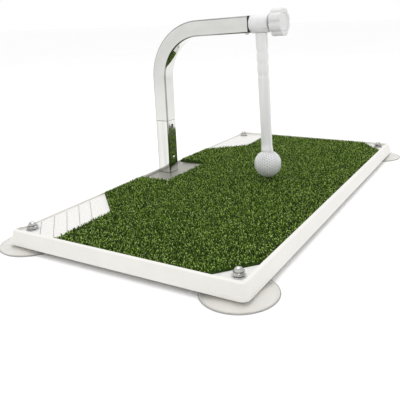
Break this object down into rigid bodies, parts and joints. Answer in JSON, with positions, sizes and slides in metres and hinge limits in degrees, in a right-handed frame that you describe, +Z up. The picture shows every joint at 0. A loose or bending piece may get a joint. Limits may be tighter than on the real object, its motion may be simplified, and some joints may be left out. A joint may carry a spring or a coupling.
{
  "type": "golf swing trainer mat",
  "caption": "Turf mat on suction cups with a bent chrome mast; a strap hangs a ball just above the turf and swings it all the way round.",
  "frame": {"origin": "on the floor, midway between the four cups, which is the centre of the overall box's base", "axes": "X along the tray's length, -Y towards the player, who faces the clamp knob, and +Z up"},
  "size_m": [0.694, 0.385, 0.2871],
  "materials": {
    "white_plastic": "satin moulded",
    "grey_plastic": "satin moulded",
    "black_plastic": "matte",
    "turf": "cut pile turf",
    "steel_plate": "brushed",
    "chrome": "polished plating",
    "zinc": "bright zinc plate",
    "brass": "machined",
    "nylon": "matte",
    "ball": "gloss",
    "clear_pvc": "soft and translucent"
  },
  "bodies": {
    "base": {"base_tray": "white_plastic", "turf_mat": "turf", "mast_plate": "steel_plate", "lower_post": "chrome", "suction_cup_front_left": "clear_pvc", "suction_cup_front_right": "clear_pvc", "suction_cup_rear_left": "clear_pvc", "suction_cup_rear_right": "clear_pvc", "cup_stud_front_left": "zinc", "cup_stud_front_right": "zinc", "cup_stud_rear_left": "zinc", "cup_stud_rear_right": "zinc", "cup_washer_front_left": "zinc", "cup_washer_front_right": "zinc", "cup_washer_rear_left": "zinc", "cup_washer_rear_right": "zinc", "acorn_nut_front_left": "chrome", "acorn_nut_front_right": "chrome", "acorn_nut_rear_left": "chrome", "acorn_nut_rear_right": "chrome", "plate_screw_1": "zinc", "plate_screw_2": "zinc", "plate_screw_3": "zinc", "plate_screw_4": "zinc", "plate_nut_1": "zinc", "plate_nut_2": "zinc", "plate_nut_3": "zinc", "plate_nut_4": "zinc"},
    "mast": {"mast_insert": "chrome", "upper_mast": "chrome", "snap_spring": "steel_plate", "arm_end_plug": "black_plastic", "plug_screw": "zinc", "axle_bolt": "zinc", "front_washer": "zinc"},
    "snap_button": {"snap_button": "zinc"},
    "swing_arm": {"swing_hub": "grey_plastic", "hub_bush_rear": "nylon", "hub_bush_front": "nylon", "swing_strap": "grey_plastic", "strap_pin": "zinc", "golf_ball": "ball", "ball_screw": "zinc"},
    "clamp_knob": {"clamp_knob": "white_plastic", "knob_insert": "brass", "knob_cap": "grey_plastic"}
  },
  "joints": [
    {"name": "mast_height", "type": "slide", "parent": "base", "child": "mast", "axis": [0, 0, 1], "range_m": [0, 0.056], "deforming": ["snap_button"]},
    {"name": "button_press", "type": "slide", "parent": "mast", "child": "snap_button", "axis": [0, 1, 0], "range_m": [0, 0.003], "stiffness_N_per_m": 2000, "springref_m": -0.001, "deforming": ["snap_spring"]},
    {"name": "arm_swing", "type": "hinge", "parent": "mast", "child": "swing_arm", "pos_m": [0, -0.0366, 0.2657], "axis": [0, -0.999, 0.0436], "continuous": true},
    {"name": "knob_turn", "type": "hinge", "parent": "mast", "child": "clamp_knob", "pos_m": [0, -0.0366, 0.2657], "axis": [0, -0.999, 0.0436], "range_deg": [0, 720]}
  ]
}
